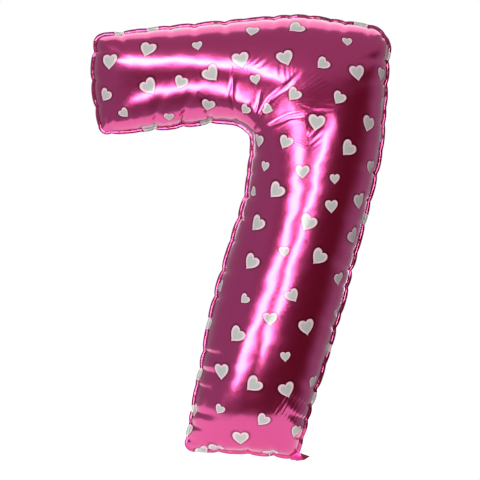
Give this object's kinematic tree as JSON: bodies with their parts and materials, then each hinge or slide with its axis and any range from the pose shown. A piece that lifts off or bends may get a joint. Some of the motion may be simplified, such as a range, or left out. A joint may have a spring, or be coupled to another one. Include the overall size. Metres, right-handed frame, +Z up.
{
  "type": "foil number balloon",
  "caption": "Inflated foil balloon in the shape of the digit 7, welded from two printed foil panels, with a short filling tail and a flat self-sealing valve.",
  "frame": {"origin": "under the middle of the digit's box, at the height of its lowest point, in the plane of the weld", "axes": "+Z up the digit, -Y out of its front, +X towards the stem's side of the digit seen from the front"},
  "size_m": [0.5088, 0.1978, 0.7503],
  "materials": {
    "printed_foil": "polished",
    "plain_foil": "polished",
    "inner_foil": "satin",
    "valve_film": "satin"
  },
  "bodies": {
    "envelope": {"front_foil_panel": "printed_foil", "rear_foil_panel": "printed_foil"},
    "tail": {"tail_front_foil": "plain_foil"},
    "tail_rear_layer": {"tail_rear_foil": "inner_foil"},
    "valve_front": {"valve_front_film": "valve_film"},
    "valve_rear": {"valve_rear_film": "valve_film"}
  },
  "joints": [
    {"name": "tail_fold", "type": "hinge", "parent": "envelope", "child": "tail", "pos_m": [0.0928, 0, 0.0019], "axis": [0.3771, 0, 0.9262], "range_deg": [-100, 100]},
    {"name": "tail_mouth", "type": "hinge", "parent": "tail", "child": "tail_rear_layer", "pos_m": [0.0928, 0, 0.0019], "axis": [0.3771, 0, 0.9262], "range_deg": [0, 30]},
    {"name": "valve_front_part", "type": "hinge", "parent": "envelope", "child": "valve_front", "pos_m": [0.064, 0, 0.022], "axis": [0.5299, 0, 0.848], "range_deg": [0, 3]},
    {"name": "valve_rear_part", "type": "hinge", "parent": "envelope", "child": "valve_rear", "pos_m": [0.064, 0, 0.022], "axis": [0.5299, 0, 0.848], "range_deg": [-3, 0]}
  ],
  "couplings": [
    {"joint": "valve_rear_part", "follows": "valve_front_part", "ratio": -1}
  ]
}
